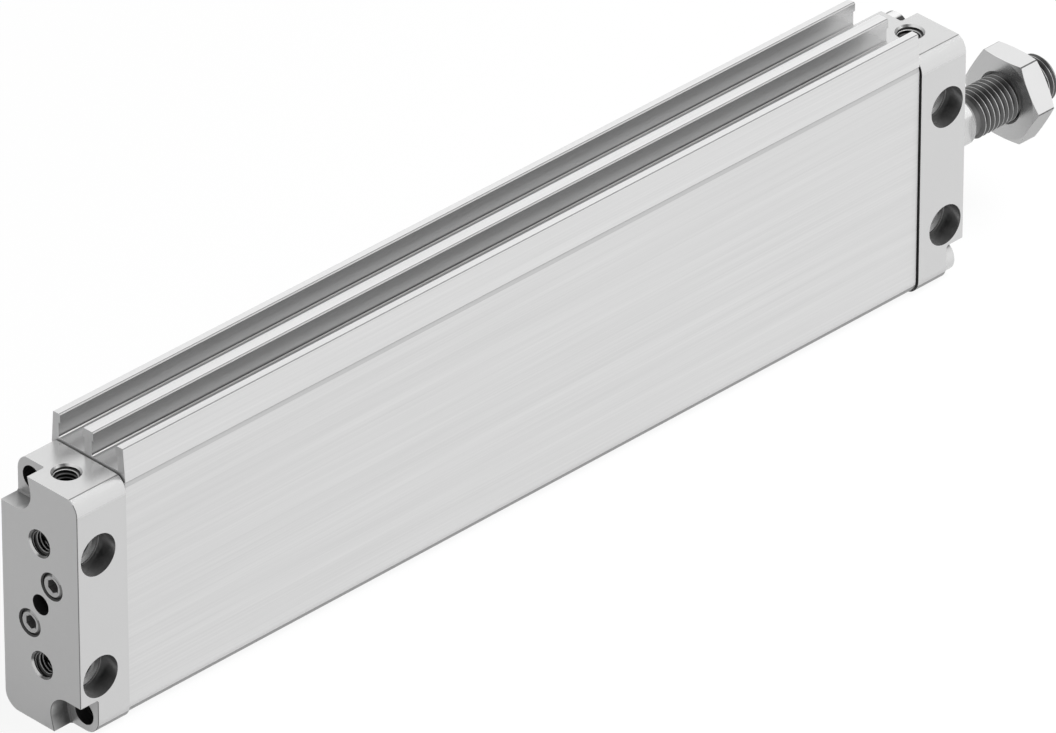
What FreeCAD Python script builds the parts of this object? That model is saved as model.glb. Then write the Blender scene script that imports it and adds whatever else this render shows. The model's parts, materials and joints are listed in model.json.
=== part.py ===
import FreeCAD, Part
import math
import os

# Flat double-acting pneumatic cylinder with an oval piston, in millimetres.
# The rod axis is the X axis. X = 0 is the rear cap's outer face, +X points out along the rod,
# +Z points up to the sensor slots, and the part is drawn with its rod fully retracted.

# Overall sizes
stroke = 160.0
cap_length = 12.0
cap_width = 20.0
cap_height = 52.0

# Oval bore: two round ends joined by straight sides
bore_radius = 7.0
bore_straight = 24.0

# Barrel extrusion
barrel_side_inset = 0.42
barrel_bottom_inset = 0.3
barrel_corner_radius = 3.2
seat_gap = 0.3
rib_wall = 1.88
web_half_width = 0.95
slot_lip = 0.42
slot_lip_thickness = 1.9
slot_depth = 5.1
slot_floor_rise = 0.5
rib_lean = 0.5
side_groove_drop = 1.76
side_groove_height = 1.09
side_groove_depth = 0.32
side_groove_land = 0.13

# End caps
corner_radius = 3.5
crease_inset = 2.0
notch_length = 4.3
notch_radius = 4.25
notch_wall_lean = 14.5
notch_floor_chamfer = 0.3
notch_overrun = 1.0
seat_land_width = 2.0
spigot_length = 8.0
spigot_clearance = 0.05
cap_seal_section = 0.8
cap_seal_groove = 1.4
cap_seal_from_tip = 1.6

# Mounting holes, ports and air ways; the M5 threads are plain walls at their major size
hole_radius = 2.5
thread_mouth_radius = 2.85
hole_spacing = 26.0
end_hole_depth = 10.0
side_hole_from_face = 5.0
counterbore_radius = 4.25
counterbore_depth = 4.6
counterbore_corner = 0.25
side_hole_mouth_radius = 2.85
port_from_face = 6.0
port_offset = -1.0
port_mouth_radius = 2.9
port_floor_drop = 2.6
air_way_radius = 0.9
air_way_drop = 2.2
drill_point_angle = 118.0

# Rear cap's centre hole and its two set screws, which sit on a small circle
centre_hole_radius = 2.08
centre_hole_depth = 6.0
set_screw_radius = 2.5
set_screw_length = 6.0
set_screw_sink = 0.1
set_screw_chamfer = 0.45
set_screw_key = 2.5
set_screw_key_depth = 2.5
set_screw_key_turn = 30.0
set_screw_circle_radius = 6.0
set_screw_angle = 120.0
set_screw_hole_depth = 8.0

# Tie screws, with low cylindrical heads at the front
tie_radius = 2.0
tie_edge_y = 3.7
tie_edge_z = 3.75
tie_hole_clearance = 0.2
tie_head_radius = 3.3
tie_head_height = 2.8
tie_head_chamfer = 0.3
tie_key = 2.5
tie_key_depth = 1.7
tie_end_sink = 2.6
tie_mouth_radius = 2.4

# Rod and its end
rod_radius = 5.0
rod_reach = 9.4
rod_shoulder_chamfer = 1.0
thread_radius = 4.95
thread_length = 22.0
thread_relief_depth = 0.75
thread_relief_length = 0.9
thread_end_chamfer = 0.75
rod_flats = 8.0
rod_flats_length = 7.0
rod_flats_back = 1.0

# Rod guide and seals in the front cap
rod_hole_clearance = 0.25
bush_wall = 1.0
bush_length = 6.0
rod_seal_wall = 3.0
rod_seal_length = 2.6
wiper_length = 2.8
wiper_sink = 0.1
seal_lip = 0.9
seal_lip_depth = 1.2

# Piston
piston_length = 24.0
piston_clearance = 0.35
piston_split = 10.0
piston_seal_inset = 2.25
piston_seal_groove = 3.2
rear_seal_from_rear = 5.4
front_seal_from_front = 5.4
guide_band_width = 4.0
guide_band_depth = 1.4
magnet_depth = 4.0
magnet_side_wall = 1.25
magnet_height = 7.0
magnet_centre = 10.8
shoulder_depth = 2.0
stem_radius = 3.0
stem_clearance = 0.05
stem_ring_width = 1.5
stem_ring_length = 1.5
piston_nut_flats = 10.0
piston_nut_length = 3.2
piston_nut_recess = 5.9
piston_nut_sink = 0.6
piston_washer_length = 0.8

# Buffers at both ends of the stroke
buffer_thickness = 2.0
buffer_inset = 0.4
buffer_straight = 13.0
end_clearance = 0.3

# Lock nut on the rod thread
nut_flats = 17.0
nut_length = 5.0
nut_from_thread_start = 10.8
nut_chamfer_radius = 8.6
nut_chamfer_angle = 20.0
nut_mouth_chamfer = 0.45

# Fits
running_clearance = 0.05
seat_clearance = 0.05
hidden_clearance = 0.1

# Places that follow from the sizes
half_width = cap_width / 2
half_height = cap_height / 2
bore_top = bore_straight / 2 + bore_radius
barrel_length = stroke + piston_length + 2 * (spigot_length + buffer_thickness + end_clearance - seat_gap)
barrel_rear = cap_length + seat_gap
barrel_front = barrel_rear + barrel_length
front_cap_inner = barrel_front + seat_gap
body_length = front_cap_inner + cap_length
barrel_half_width = half_width - barrel_side_inset
barrel_bottom = -half_height + barrel_bottom_inset
slot_floor = half_height + slot_floor_rise
rib_top = slot_floor + slot_depth
tie_y = half_width - tie_edge_y
tie_z = half_height - tie_edge_z
tie_places = ((tie_y, tie_z), (-tie_y, -tie_z))
hole_levels = (-hole_spacing / 2, hole_spacing / 2)
spigot_radius = bore_radius - spigot_clearance
cap_groove_radius = spigot_radius - cap_seal_section
air_way_level = bore_top - air_way_drop
port_floor = bore_top - port_floor_drop
piston_rear = cap_length + spigot_length + buffer_thickness + end_clearance
piston_front = piston_rear + piston_length
piston_radius = bore_radius - piston_clearance
piston_groove_radius = bore_radius - piston_seal_inset
piston_joint = piston_rear + piston_split
rear_groove_start = piston_rear + rear_seal_from_rear
front_groove_start = piston_front - front_seal_from_front - piston_seal_groove
guide_groove_radius = piston_radius - guide_band_depth
rod_shoulder = piston_front - shoulder_depth
nut_recess_floor = piston_rear + piston_nut_sink + piston_nut_length + piston_washer_length
thread_start = body_length + rod_reach
rod_end = thread_start + thread_length
bush_radius = rod_radius + bush_wall
seal_radius = rod_radius + rod_seal_wall
seal_floor = body_length - wiper_sink - wiper_length - hidden_clearance - rod_seal_length
bush_floor = seal_floor - bush_length
nut_rear = thread_start + nut_from_thread_start


def vector(x, y, z):
    return FreeCAD.Vector(x, y, z)


def block(x0, x1, y0, y1, z0, z1):
    return Part.makeBox(x1 - x0, y1 - y0, z1 - z0, vector(x0, y0, z0))


def round_bar(radius, x0, x1, y=0.0, z=0.0):
    return Part.makeCylinder(radius, x1 - x0, vector(x0, y, z), vector(1, 0, 0))


def prism(outline, x0, x1):
    """Straight prism along X over a closed outline of edges drawn at X = 0."""
    face = Part.Face(Part.Wire(outline))
    face.translate(vector(x0, 0, 0))
    return face.extrude(vector(x1 - x0, 0, 0))


def polygon_edges(points):
    corners = [vector(0, y, z) for y, z in points]
    return Part.makePolygon(corners + corners[:1]).Edges


def oval_edges(radius, straight):
    top = straight / 2
    return [
        Part.LineSegment(vector(0, radius, -top), vector(0, radius, top)).toShape(),
        Part.Arc(vector(0, radius, top), vector(0, 0, top + radius), vector(0, -radius, top)).toShape(),
        Part.LineSegment(vector(0, -radius, top), vector(0, -radius, -top)).toShape(),
        Part.Arc(vector(0, -radius, -top), vector(0, 0, -top - radius), vector(0, radius, -top)).toShape(),
    ]


def oval(radius, x0, x1, straight=bore_straight):
    """Oval bar along X, with round ends of the given radius about the bore's own centres."""
    return prism(oval_edges(radius, straight), x0, x1)


def oval_ring(outer, inner, x0, x1):
    return oval(outer, x0, x1).cut(oval(inner, x0, x1))


def turned(profile):
    """Solid of revolution about X from a closed profile of (x, radius) points."""
    corners = [vector(x, 0, radius) for x, radius in profile]
    face = Part.Face(Part.makePolygon(corners + corners[:1]))
    return face.revolve(vector(0, 0, 0), vector(1, 0, 0), 360)


def hexagon(across_flats, x0, x1, turn=0.0):
    """Hexagonal bar along X, with flats at its top and bottom unless it is turned."""
    corner = across_flats / math.sqrt(3)
    angles = [math.radians(60 * step + turn) for step in range(6)]
    return prism(polygon_edges([(corner * math.cos(a), corner * math.sin(a)) for a in angles]), x0, x1)


def drilled(radius, depth, mouth_radius, mouth, inward):
    """Blind hole with a chamfered mouth and a drill point, as a cutting tool."""
    chamfer = mouth_radius - radius
    point_length = radius / math.tan(math.radians(drill_point_angle / 2))
    tool = Part.makeCylinder(radius, depth, mouth, inward)
    tip = Part.makeCone(radius, 0, point_length, mouth + inward * depth, inward)
    tool = tool.fuse(tip)
    if chamfer > 0:
        tool = tool.fuse(Part.makeCone(mouth_radius, radius, chamfer, mouth, inward))
    return tool.removeSplitter()


def fused(shapes):
    return shapes[0].multiFuse(shapes[1:]).removeSplitter()


def cap_outline():
    """Cap section: round corners, of which the upper two meet the top in a crease."""
    sweep = math.acos(1 - crease_inset / corner_radius)
    upper = half_height - corner_radius * math.sin(sweep)
    lower = -half_height + corner_radius

    def on_corner(side, level, angle):
        y = half_width - corner_radius * (1 - math.cos(angle))
        return vector(0, side * y, level + corner_radius * math.sin(angle))

    def half(side):
        foot, shoulder = on_corner(side, lower, 0), on_corner(side, upper, 0)
        bottom, crease = on_corner(side, lower, -math.pi / 2), on_corner(side, upper, sweep)
        return [
            Part.Arc(bottom, on_corner(side, lower, -math.pi / 4), foot).toShape(),
            Part.LineSegment(foot, shoulder).toShape(),
            Part.Arc(shoulder, on_corner(side, upper, sweep / 2), crease).toShape(),
        ], bottom, crease

    right, right_bottom, right_crease = half(1)
    left, left_bottom, left_crease = half(-1)
    top = Part.LineSegment(right_crease, left_crease).toShape()
    base = Part.LineSegment(left_bottom, right_bottom).toShape()
    return right + [top] + left[::-1] + [base]


def screw_notch(y, z):
    """Corner notch at a cap's outer face: round about the tie screw, open to the side and the end."""
    side = math.copysign(1, y)
    level = math.copysign(1, z)
    lean = math.radians(notch_wall_lean)
    past_side = side * (half_width + notch_overrun)
    past_end = level * (half_height + notch_overrun)
    floor = z - level * notch_radius
    foot_y = y - side * notch_radius * math.cos(lean)
    foot_z = z + level * notch_radius * math.sin(lean)
    top_y = foot_y + side * abs(past_end - foot_z) * math.tan(lean)
    outline = [(y, floor), (past_side, floor), (past_side, past_end), (top_y, past_end), (foot_y, foot_z)]
    tool = fused([
        prism(polygon_edges(outline), -notch_overrun, notch_length),
        round_bar(notch_radius, -notch_overrun, notch_length, y, z),
    ])
    rim = [edge for edge in tool.Edges if edge.BoundBox.XMin > notch_length - seat_clearance]
    return tool.makeChamfer(notch_floor_chamfer, rim)


def side_hole(level):
    """Cross hole through the cap's width with a counterbore on each side."""
    mouth = side_hole_mouth_radius - hole_radius
    half = turned([
        (0, 0),
        (0, hole_radius),
        (half_width - counterbore_depth - mouth, hole_radius),
        (half_width - counterbore_depth, side_hole_mouth_radius),
        (half_width - counterbore_depth, counterbore_radius - counterbore_corner),
        (half_width - counterbore_depth + counterbore_corner, counterbore_radius),
        (half_width, counterbore_radius),
        (half_width, 0),
    ])
    whole = fused([half, half.mirror(vector(0, 0, 0), vector(1, 0, 0))])
    whole.rotate(vector(0, 0, 0), vector(0, 0, 1), 90)
    whole.translate(vector(side_hole_from_face, 0, level))
    return whole


def port():
    """Supply port in the top face, and the air way that leads from its floor to the chamber."""
    chamfer = port_mouth_radius - hole_radius
    down = vector(0, 0, -1)
    mouth = vector(port_from_face, port_offset, half_height)
    tools = [Part.makeCylinder(hole_radius, half_height - port_floor, mouth, down)]
    tools.append(Part.makeCone(port_mouth_radius, hole_radius, chamfer, mouth, down))
    tools.append(round_bar(air_way_radius, port_from_face, cap_length + spigot_length, 0, air_way_level))
    return fused(tools)


def cap(tie_hole_radius):
    """What the two caps share, drawn at the rear end with the outer face at X = 0."""
    tip = cap_length + spigot_length
    groove_end = tip - cap_seal_from_tip
    shape = fused([
        prism(cap_outline(), 0, cap_length),
        oval(bore_radius + seat_land_width, cap_length - seat_gap, cap_length + seat_gap),
        oval(spigot_radius, cap_length - seat_gap, tip),
    ])
    tools = [oval_ring(bore_radius, cap_groove_radius, groove_end - cap_seal_groove, groove_end)]
    for y, z in tie_places:
        tools.append(screw_notch(y, z))
        tools.append(round_bar(tie_hole_radius, 0, cap_length, y, z))
    for level in hole_levels:
        tools.append(side_hole(level))
        mouth = vector(0, 0, level)
        tools.append(drilled(hole_radius, end_hole_depth, thread_mouth_radius, mouth, vector(1, 0, 0)))
    tools.append(port())
    return shape.cut(tools)


def to_front(shape):
    """The same shape at the other end of the cylinder, facing the other way."""
    return shape.mirror(vector(body_length / 2, 0, 0), vector(1, 0, 0))


def set_screw_places():
    angle = math.radians(set_screw_angle)
    y = set_screw_circle_radius * math.cos(angle)
    z = set_screw_circle_radius * math.sin(angle)
    return ((y, z), (-y, -z))


def rear_cap():
    inward = vector(1, 0, 0)
    shape = cap(tie_radius + seat_clearance)
    screw_hole_radius = set_screw_radius + seat_clearance
    tools = [drilled(centre_hole_radius, centre_hole_depth, centre_hole_radius, vector(0, 0, 0), inward)]
    for y, z in tie_places:
        tools.append(round_bar(tie_mouth_radius, notch_length, notch_length + tie_end_sink, y, z))
    for y, z in set_screw_places():
        mouth = vector(0, y, z)
        tools.append(drilled(screw_hole_radius, set_screw_hole_depth, thread_mouth_radius, mouth, inward))
    return shape.cut(tools)


def front_cap():
    shape = to_front(cap(tie_radius + tie_hole_clearance))
    spigot_tip = front_cap_inner - spigot_length
    return shape.cut([
        round_bar(rod_radius + rod_hole_clearance, spigot_tip, body_length),
        round_bar(bush_radius + seat_clearance, bush_floor, body_length),
        round_bar(seal_radius + seat_clearance, seal_floor, body_length),
    ])


def barrel():
    """Extruded barrel: oval bore below, three ribs and two sensor slots along its top."""
    wall = barrel_half_width - rib_wall
    groove_top = slot_floor - side_groove_drop
    groove_wall = barrel_half_width - side_groove_depth
    right = [
        (barrel_half_width, barrel_bottom),
        (barrel_half_width, groove_top - side_groove_height),
        (groove_wall, groove_top - side_groove_land),
        (groove_wall, groove_top),
        (barrel_half_width, groove_top),
        (barrel_half_width - rib_lean, rib_top),
        (wall - slot_lip, rib_top),
        (wall - slot_lip, rib_top - slot_lip_thickness),
        (wall, rib_top - slot_lip_thickness),
        (wall, slot_floor),
        (web_half_width, slot_floor),
        (web_half_width, rib_top - slot_lip_thickness),
        (web_half_width + slot_lip, rib_top - slot_lip_thickness),
        (web_half_width + slot_lip, rib_top),
    ]
    left = [(-y, z) for y, z in reversed(right)]
    shape = prism(polygon_edges(right + left), barrel_rear, barrel_front)
    lower_corners = []
    for edge in shape.Edges:
        along = edge.BoundBox.XLength > barrel_length / 2
        if along and edge.BoundBox.ZMax < barrel_bottom + barrel_corner_radius:
            lower_corners.append(edge)
    shape = shape.makeFillet(barrel_corner_radius, lower_corners)
    tools = [oval(bore_radius, barrel_rear, barrel_front)]
    for y, z in tie_places:
        tools.append(round_bar(tie_radius + tie_hole_clearance, barrel_rear, barrel_front, y, z))
    return shape.cut(tools)


def cap_seal():
    """Oval sealing ring in the rear spigot's groove."""
    end = cap_length + spigot_length - cap_seal_from_tip
    start = end - cap_seal_groove
    ring = oval_ring(bore_radius - hidden_clearance / 2, cap_groove_radius + hidden_clearance / 2,
                     start + hidden_clearance, end - hidden_clearance)
    return ring


def buffer_pad():
    """Elastic pad on the rear spigot's face, pierced for the rod."""
    start = cap_length + spigot_length
    pad = oval(bore_radius - buffer_inset, start, start + buffer_thickness, buffer_straight)
    return pad.cut(round_bar(rod_radius + rod_hole_clearance, start, start + buffer_thickness))


def tie_screw(y, z):
    flange = body_length - notch_length
    top = flange + tie_head_height
    shape = turned([
        (notch_length + tie_end_sink, 0),
        (notch_length + tie_end_sink, tie_radius),
        (flange, tie_radius),
        (flange, tie_head_radius),
        (top - tie_head_chamfer, tie_head_radius),
        (top, tie_head_radius - tie_head_chamfer),
        (top, 0),
    ])
    shape = shape.cut(hexagon(tie_key, top - tie_key_depth, top))
    shape.translate(vector(0, y, z))
    return shape


def set_screw(y, z):
    start = set_screw_sink
    end = start + set_screw_length
    shape = turned([
        (start, 0),
        (start, set_screw_radius - set_screw_chamfer),
        (start + set_screw_chamfer, set_screw_radius),
        (end - set_screw_chamfer, set_screw_radius),
        (end, set_screw_radius - set_screw_chamfer),
        (end, 0),
    ])
    shape = shape.cut(hexagon(set_screw_key, start, start + set_screw_key_depth, set_screw_key_turn))
    shape.translate(vector(0, y, z))
    return shape


def lipped_ring(outer, inner, base, tip):
    """Round seal with a lip against the rod and one outside, open at its tip."""
    depth = math.copysign(seal_lip_depth, tip - base)
    return turned([
        (base, inner),
        (base, outer),
        (tip, outer),
        (tip, outer - seal_lip),
        (tip - depth, (outer + inner) / 2),
        (tip, inner + seal_lip),
        (tip, inner),
    ])


def rod_bush():
    bush = round_bar(bush_radius, bush_floor, seal_floor)
    return bush.cut(round_bar(rod_radius + running_clearance, bush_floor, seal_floor))


def rod_seal():
    inner = rod_radius + running_clearance
    return lipped_ring(seal_radius, inner, seal_floor + rod_seal_length, seal_floor + seat_clearance)


def rod_wiper():
    inner = rod_radius + running_clearance
    front = body_length - wiper_sink
    return lipped_ring(seal_radius, inner, front - wiper_length, front)


def piston_rod():
    """Rod with its stem through the piston, and wrench flats, relief and thread at the front."""
    stem_end = piston_rear + piston_nut_sink
    relief = thread_radius - thread_relief_depth
    thread_foot = thread_start + thread_relief_length
    shape = turned([
        (stem_end, 0),
        (stem_end, stem_radius),
        (rod_shoulder, stem_radius),
        (rod_shoulder, rod_radius),
        (thread_start - rod_shoulder_chamfer, rod_radius),
        (thread_start, relief),
        (thread_foot, relief),
        (thread_foot + thread_relief_depth, thread_radius),
        (rod_end - thread_end_chamfer, thread_radius),
        (rod_end, thread_radius - thread_end_chamfer),
        (rod_end, 0),
    ])
    flats_end = thread_start - rod_flats_back
    flats_start = flats_end - rod_flats_length
    reach = 2 * rod_radius
    for side in (1, -1):
        ys = sorted((side * rod_flats / 2, side * reach))
        shape = shape.cut(block(flats_start, flats_end, ys[0], ys[1], -reach, reach))
    return shape


def magnet_block(side, clearance):
    centre = side * magnet_centre
    half_y = guide_groove_radius - magnet_side_wall + clearance
    half_z = magnet_height / 2 + clearance
    end = piston_joint + magnet_depth + clearance
    return block(piston_joint, end, -half_y, half_y, centre - half_z, centre + half_z)


def piston_rear_half():
    shape = oval(piston_radius, piston_rear, piston_joint)
    groove_end = rear_groove_start + piston_seal_groove
    return shape.cut([
        oval_ring(bore_radius, piston_groove_radius, rear_groove_start, groove_end),
        round_bar(stem_radius + stem_clearance, piston_rear, piston_joint),
        round_bar(piston_nut_recess, piston_rear, nut_recess_floor),
    ])


def piston_front_half():
    shape = oval(piston_radius, piston_joint, piston_front)
    groove_end = front_groove_start + piston_seal_groove
    ring_floor = rod_shoulder - stem_ring_length
    return shape.cut([
        oval_ring(bore_radius, piston_groove_radius, front_groove_start, groove_end),
        oval_ring(bore_radius, guide_groove_radius, piston_joint, piston_joint + guide_band_width),
        magnet_block(1, hidden_clearance),
        magnet_block(-1, hidden_clearance),
        round_bar(stem_radius + stem_clearance, piston_joint, piston_front),
        round_bar(stem_radius + stem_ring_width, ring_floor, rod_shoulder),
        round_bar(rod_radius + seat_clearance, rod_shoulder, piston_front),
    ])


def piston_magnets():
    return Part.makeCompound([magnet_block(side, 0) for side in (1, -1)])


def piston_guide_band():
    start = piston_joint + hidden_clearance
    end = piston_joint + guide_band_width - hidden_clearance
    return oval_ring(bore_radius - running_clearance, guide_groove_radius + seat_clearance, start, end)


def piston_seal(groove_start, faces_front):
    """Oval lip seal whose open side faces the chamber that it seals."""
    start = groove_start + hidden_clearance
    end = groove_start + piston_seal_groove - hidden_clearance
    outer = bore_radius - running_clearance
    inner = piston_groove_radius + seat_clearance
    ring = oval_ring(outer, inner, start, end)
    mouth = (end - seal_lip_depth, end) if faces_front else (start, start + seal_lip_depth)
    third = (outer - inner) / 3
    return ring.cut(oval_ring(outer - third, inner + third, mouth[0], mouth[1]))


def stem_ring():
    end = rod_shoulder - hidden_clearance
    start = rod_shoulder - stem_ring_length + hidden_clearance
    ring = round_bar(stem_radius + stem_ring_width - seat_clearance, start, end)
    return ring.cut(round_bar(stem_radius + seat_clearance, start, end))


def piston_washer():
    start = nut_recess_floor - piston_washer_length
    washer = round_bar(piston_nut_recess - hidden_clearance, start, nut_recess_floor)
    return washer.cut(round_bar(stem_radius + stem_clearance, start, nut_recess_floor))


def chamfered_nut(across_flats, x0, x1, chamfer_radius):
    """Hexagon whose corners are turned off at both faces."""
    corner = across_flats / math.sqrt(3)
    cut_length = (corner - chamfer_radius) * math.tan(math.radians(nut_chamfer_angle))
    envelope = turned([
        (x0, 0),
        (x0, chamfer_radius),
        (x0 + cut_length, corner),
        (x1 - cut_length, corner),
        (x1, chamfer_radius),
        (x1, 0),
    ])
    return hexagon(across_flats, x0, x1).common(envelope)


def piston_nut():
    start = piston_rear + piston_nut_sink
    end = start + piston_nut_length
    nut = hexagon(piston_nut_flats, start, end)
    return nut.cut(round_bar(stem_radius + stem_clearance, start, end))


def lock_nut():
    end = nut_rear + nut_length
    nut = chamfered_nut(nut_flats, nut_rear, end, nut_chamfer_radius)
    bore = thread_radius + running_clearance
    mouth = bore + nut_mouth_chamfer
    return nut.cut(turned([
        (nut_rear, 0),
        (nut_rear, mouth),
        (nut_rear + nut_mouth_chamfer, bore),
        (end - nut_mouth_chamfer, bore),
        (end, mouth),
        (end, 0),
    ]))


nodes = {
    "barrel": barrel(),
    "rear_cap": rear_cap(),
    "front_cap": front_cap(),
    "rear_cap_seal": cap_seal(),
    "front_cap_seal": to_front(cap_seal()),
    "rear_buffer": buffer_pad(),
    "front_buffer": to_front(buffer_pad()),
    "tie_screws": Part.makeCompound([tie_screw(y, z) for y, z in tie_places]),
    "set_screws": Part.makeCompound([set_screw(y, z) for y, z in set_screw_places()]),
    "rod_bush": rod_bush(),
    "rod_seal": rod_seal(),
    "rod_wiper": rod_wiper(),
    "piston_rod": piston_rod(),
    "piston_rear_half": piston_rear_half(),
    "piston_front_half": piston_front_half(),
    "piston_magnets": piston_magnets(),
    "piston_guide_band": piston_guide_band(),
    "piston_rear_seal": piston_seal(rear_groove_start, False),
    "piston_front_seal": piston_seal(front_groove_start, True),
    "piston_stem_ring": stem_ring(),
    "piston_washer": piston_washer(),
    "piston_nut": piston_nut(),
    "lock_nut": lock_nut(),
}

os.makedirs("parts", exist_ok=True)
for name, shape in nodes.items():
    shape.exportStep(f"parts/{name}.step")
    print(name, len(shape.Solids), "solids", round(shape.Volume, 2), "mm3", "valid", shape.isValid())
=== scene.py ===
import json
import math

import bmesh
import bpy
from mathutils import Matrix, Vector


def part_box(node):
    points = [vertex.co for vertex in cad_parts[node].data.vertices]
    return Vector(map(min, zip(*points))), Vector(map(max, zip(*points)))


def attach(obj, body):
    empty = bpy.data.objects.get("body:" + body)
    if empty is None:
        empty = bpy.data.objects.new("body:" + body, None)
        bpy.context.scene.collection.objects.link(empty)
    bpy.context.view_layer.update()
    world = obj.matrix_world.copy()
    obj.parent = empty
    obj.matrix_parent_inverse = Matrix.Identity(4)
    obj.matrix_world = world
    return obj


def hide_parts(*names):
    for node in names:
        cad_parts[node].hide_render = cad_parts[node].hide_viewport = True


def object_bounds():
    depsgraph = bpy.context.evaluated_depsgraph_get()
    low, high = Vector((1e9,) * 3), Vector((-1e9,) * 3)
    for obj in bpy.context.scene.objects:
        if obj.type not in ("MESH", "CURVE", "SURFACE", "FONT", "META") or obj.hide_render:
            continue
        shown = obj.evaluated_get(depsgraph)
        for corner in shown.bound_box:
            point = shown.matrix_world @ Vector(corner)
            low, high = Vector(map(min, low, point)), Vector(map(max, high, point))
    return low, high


# Flat pneumatic cylinder: finishes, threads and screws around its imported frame, in metres.
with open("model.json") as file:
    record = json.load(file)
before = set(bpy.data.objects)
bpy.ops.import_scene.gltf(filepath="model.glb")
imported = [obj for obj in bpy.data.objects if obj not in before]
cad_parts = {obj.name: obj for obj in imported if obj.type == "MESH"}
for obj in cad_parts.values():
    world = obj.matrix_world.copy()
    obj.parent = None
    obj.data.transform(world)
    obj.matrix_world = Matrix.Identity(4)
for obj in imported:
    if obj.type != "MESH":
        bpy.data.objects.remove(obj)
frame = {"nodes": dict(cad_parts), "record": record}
cad_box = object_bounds()

MM = 0.001
nodes = frame["nodes"]
mounts = {mount["name"]: mount for mount in frame["record"]["mounts"]}
cap_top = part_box("rear_cap")[1].z
rib_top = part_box("barrel")[1].z

# Photograph's view: direction from the aim point to the camera, and the long lens that it was taken with
view_azimuth = math.radians(-44.748)
view_elevation = math.radians(32.312)
view_distance = 2592.75 * MM
view_aim = Vector((123.145, 0.326, -4.495)) * MM
view_lens = 479.324
view_sensor = 36.0
view_nearest = 0.05
view_farthest = 20.0

# Studio light and floor
sky_level = 0.21
key_direction = Vector((0.38, -0.45, 0.82)).normalized()
key_distance = 1.8
key_size = 1.2
key_power = 39.0
floor_half_size = 4.0
floor_gap = 0.05 * MM
floor_tone = 0.95
floor_tone_to_light = 0.38
floor_white_share = 0.9

# M5 threads in the caps; the side holes go through, so the near mount alone places their threads
end_mounts = ("rear_end_bolts", "front_end_bolts")
port_mounts = ("rear_port", "front_port")
side_mounts = ("near_side_bolts", "far_side_bolts")
through_mounts = ("near_side_bolts",)
hole_radius = mounts["rear_port"]["dims"]["r_mm"] * MM
hole_pitch = 0.8 * MM
hole_ridge_height = 0.45 * MM
hole_ridge_crest = 0.16 * MM
hole_thread_start = 0.5 * MM
port_thread_start = 0.3 * MM
end_hole_turns = 11.0
port_turns = 10.5
side_hole_turns = 12.5

# Thread ridges: depth in the wall, half width in pitches, run-out in turns, and how they are divided
ridge_sink = 0.05 * MM
ridge_half_base = 0.49
ridge_run_out = 0.6
ridge_least_growth = 0.04
ridge_points_per_turn = 48

# M10 x 1.25 thread on the rod
rod_pitch = 1.25 * MM
rod_ridge_height = 0.72 * MM
rod_ridge_crest = 0.08 * MM
rod_core_radius = 4.2 * MM
rod_crest_radius = rod_core_radius + rod_ridge_height
rod_relief_length = 0.9 * MM
rod_end_chamfer = 0.75 * MM
rod_shoulder_chamfer = 1.0 * MM
rod_stem_radius = 3.0 * MM
rod_shoulder_depth = 2.0 * MM
rod_flats = 8.0 * MM
rod_flats_length = 7.0 * MM
rod_flats_back = 1.0 * MM

# Holes in the caps, for the painted shade and glints on their walls
counterbore_radius = 4.25 * MM
counterbore_depth = 4.6 * MM
counterbore_floor = 5.4 * MM
counterbore_shadow = 0.35 * MM
counterbore_shade = (10.6 * MM, 12.6 * MM)
side_hole_spacing = 26.0 * MM
bored_depth = 12.0 * MM
rim_depth = 3.0 * MM
centre_hole_radius = 2.08 * MM
port_mouth_radius = 2.9 * MM
port_bright_above = 0.9 * MM
port_dark_below = 1.2 * MM

# Tie screws, their holes and their corner notches, and where the painted shade and reflection on them run
tie_y = 6.3 * MM
tie_z = 22.25 * MM
tie_mouth_radius = 2.4 * MM
tie_flange = 4.3 * MM
tie_screw_dark_end = 10.0 * MM
tie_screw_reach = 25.75 * MM
notch_radius = 4.25 * MM
notch_upper_shade = (0.2 * MM, 4.0 * MM)
notch_lower_shade = (0.2 * MM, 3.2 * MM)

# Set screws in the rear cap's end face, with the painted light and shade on their faces
screw_mouth_radius = 2.85 * MM
screw_radius = 2.5 * MM
screw_rim_radius = 2.05 * MM
screw_key = 2.5 * MM
screw_key_depth = 2.2 * MM
screw_key_mouth_radius = 1.62 * MM
screw_key_chamfer = 0.22 * MM
screw_thread_start = math.radians(92)
screw_thread_turns = 56 / 360
screw_thread_gap = 0.04 * MM
screw_thread_steps = 12
screw_face_bright = 0.75
screw_chamfer_bright = 0.25
screw_key_bright = 0.35
screw_side_bright = 0.1

# Lock nut
nut_flats = 17.0 * MM
nut_chamfer_radius = 8.6 * MM
nut_chamfer_angle = math.radians(20)
nut_corner_angle = math.radians(0.9)
nut_sharp_angle = math.radians(14)
nut_bore_radius = 5.0 * MM
nut_mouth_chamfer = 0.45 * MM
nut_flat_steps = 24

# Sensor slots in the barrel's top, and grooves along its sides; the slot walls are painted dark at their
# foot, as shade, and lighter towards the front end, as light
slot_floor = 26.5 * MM
slot_half_width = 7.7 * MM
slot_wall_height = 3.2 * MM
slot_wall_shade_tones = ((0.0, 0.08), (0.16, 0.14), (0.28, 0.62), (1.0, 0.57))
slot_bright_end = 14.0 * MM
slot_bright_tone = 0.8
slot_bright_share = 0.75
slot_foot_shade = (14.0 * MM, 34.0 * MM)
side_groove_low = 23.65 * MM
side_groove_high = 24.74 * MM
side_groove_wall = 9.2 * MM

# Broken edges, most of them painted dark as a shade line, and smooth shading
cap_edge_width = 0.13 * MM
rib_edge_width = 0.13 * MM
lip_edge_width = 0.24 * MM
lip_line_width = 0.09 * MM
slot_corner_width = 0.17 * MM
edge_angle = math.radians(24)
flat_angle = math.radians(0.5)
smooth_angle = math.radians(32)
round_sides = 72
wall_margin = 0.03 * MM
merge_distance = 0.0005 * MM

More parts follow.
